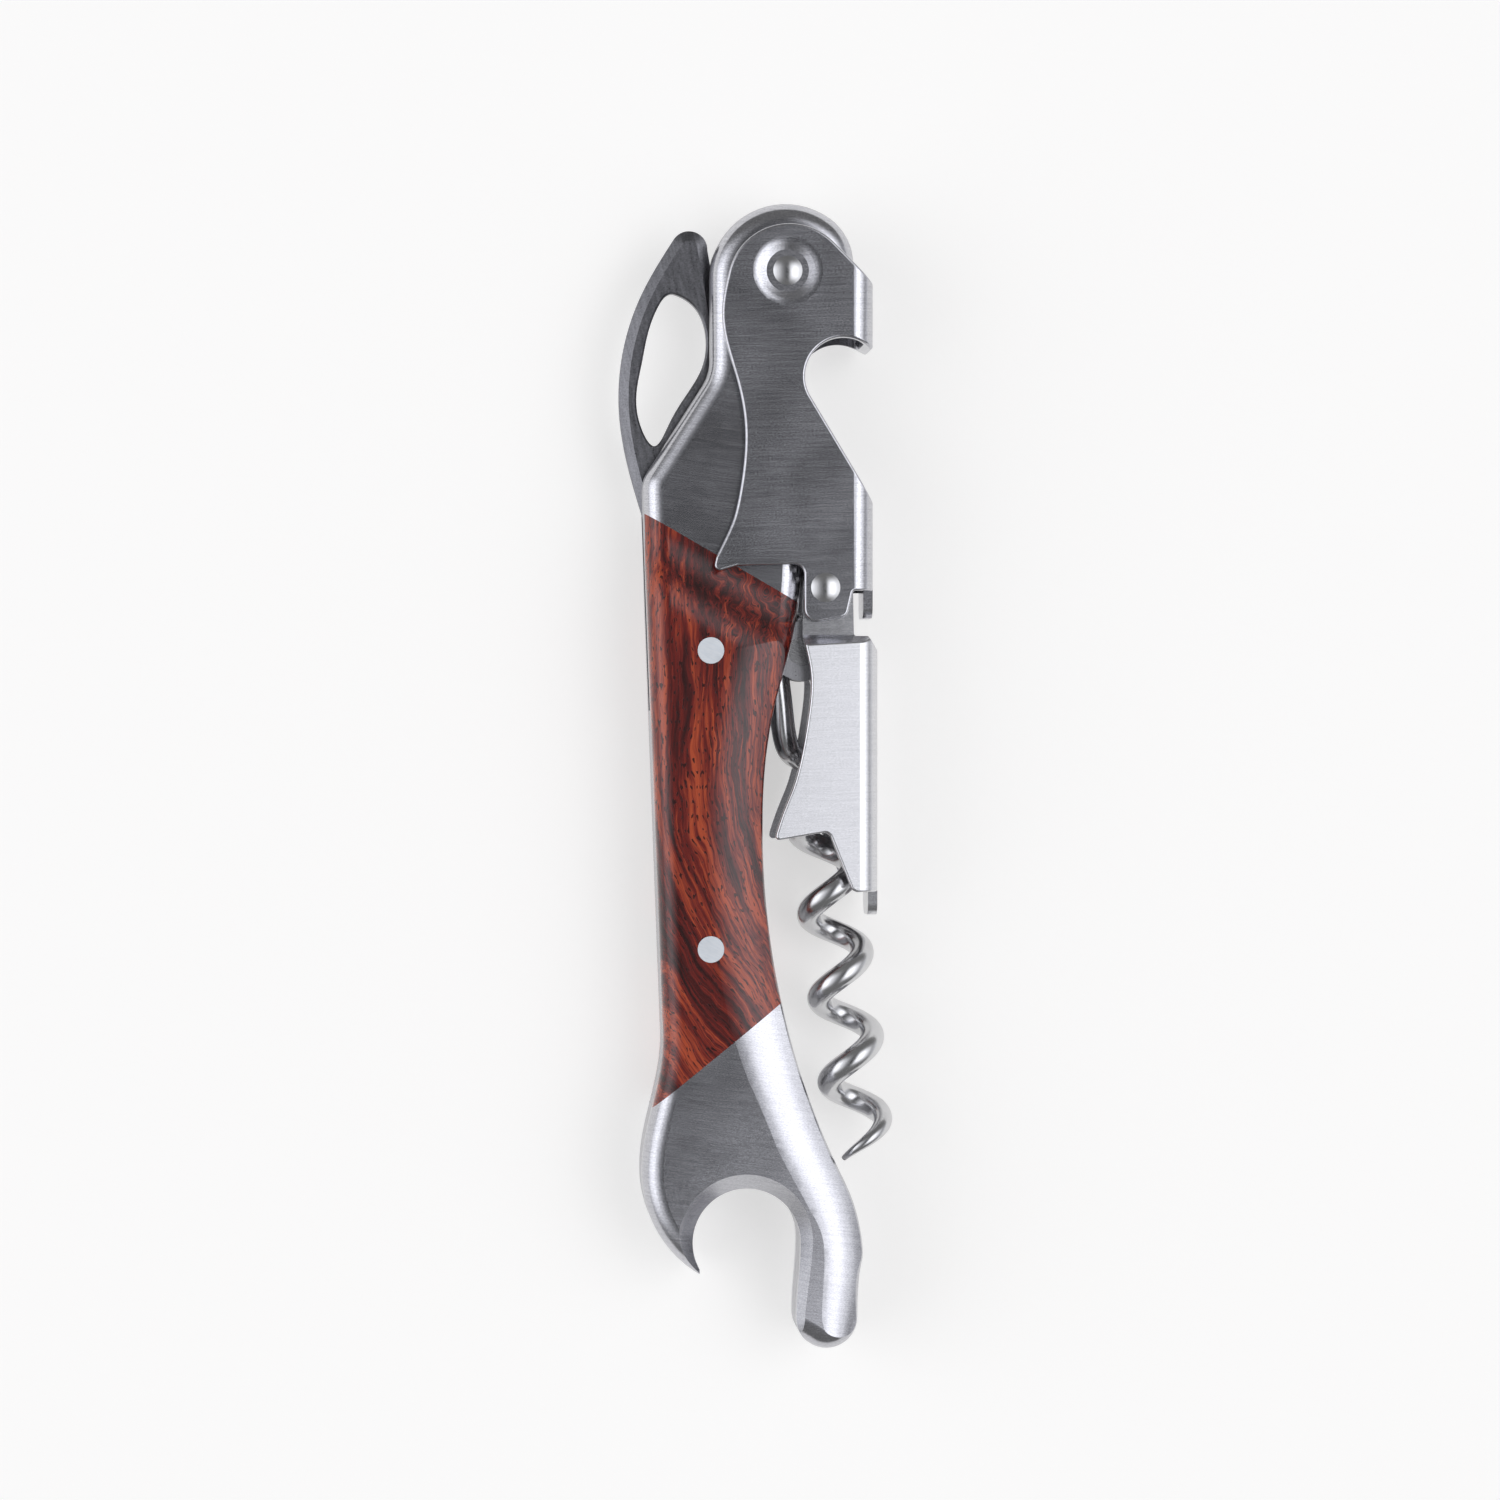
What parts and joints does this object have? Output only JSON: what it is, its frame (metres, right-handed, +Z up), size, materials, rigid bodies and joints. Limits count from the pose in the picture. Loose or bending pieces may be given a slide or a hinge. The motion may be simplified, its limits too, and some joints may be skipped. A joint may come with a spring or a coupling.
{
  "type": "lever corkscrew",
  "caption": "Folding lever corkscrew: wood-scaled handle with steel bolsters, a bottle-opener tail, a foil knife, a wire worm and a jointed lever with rim steps.",
  "frame": {"origin": "middle of the bounding box in plan, on the surface that the folded corkscrew lies on", "axes": "+Y along the handle from the opener to the head, +Z up through the pivots, +X towards the lever"},
  "size_m": [0.0294, 0.1219, 0.012],
  "materials": {
    "brushed_steel": "brushed",
    "bright_steel": "polished",
    "knife_steel": "satin",
    "rosewood": "oiled"
  },
  "bodies": {
    "handle": {"front_liner": "brushed_steel", "rear_liner": "brushed_steel", "front_head_bolster": "brushed_steel", "rear_head_bolster": "brushed_steel", "front_tail_bolster": "brushed_steel", "rear_tail_bolster": "brushed_steel", "head_spacer": "brushed_steel", "back_spring": "brushed_steel", "bolster_studs": "brushed_steel", "knife_washers": "brushed_steel", "front_scale": "rosewood", "rear_scale": "rosewood", "worm_pivot_pin": "bright_steel", "knife_pivot_pin": "bright_steel", "scale_pin": "bright_steel", "lever_pivot_rivet": "bright_steel"},
    "lever": {"upper_lever": "brushed_steel", "lever_hinge_rivet": "bright_steel"},
    "lower_lever": {"lower_lever": "brushed_steel"},
    "worm": {"worm": "bright_steel"},
    "knife": {"knife_blade": "knife_steel"}
  },
  "joints": [
    {"name": "lever_swing", "type": "hinge", "parent": "handle", "child": "lever", "pos_m": [0.003, 0.0536, 0.006], "axis": [0, 0, 1], "range_deg": [0, 135]},
    {"name": "lower_lever_swing", "type": "hinge", "parent": "lever", "child": "lower_lever", "pos_m": [0.007, 0.02, 0.006], "axis": [0, 0, 1], "range_deg": [0, 32]},
    {"name": "worm_swing", "type": "hinge", "parent": "handle", "child": "worm", "pos_m": [0.00475, 0.0133, 0.006], "axis": [0, 0, 1], "range_deg": [0, 90]},
    {"name": "knife_swing", "type": "hinge", "parent": "handle", "child": "knife", "pos_m": [-0.0052, 0.0133, 0.006], "axis": [0, 0, 1], "range_deg": [0, 95]}
  ],
  "couplings": [
    {"joint": "worm_swing", "follows": "lever_swing", "ratio": 0.66667}
  ]
}
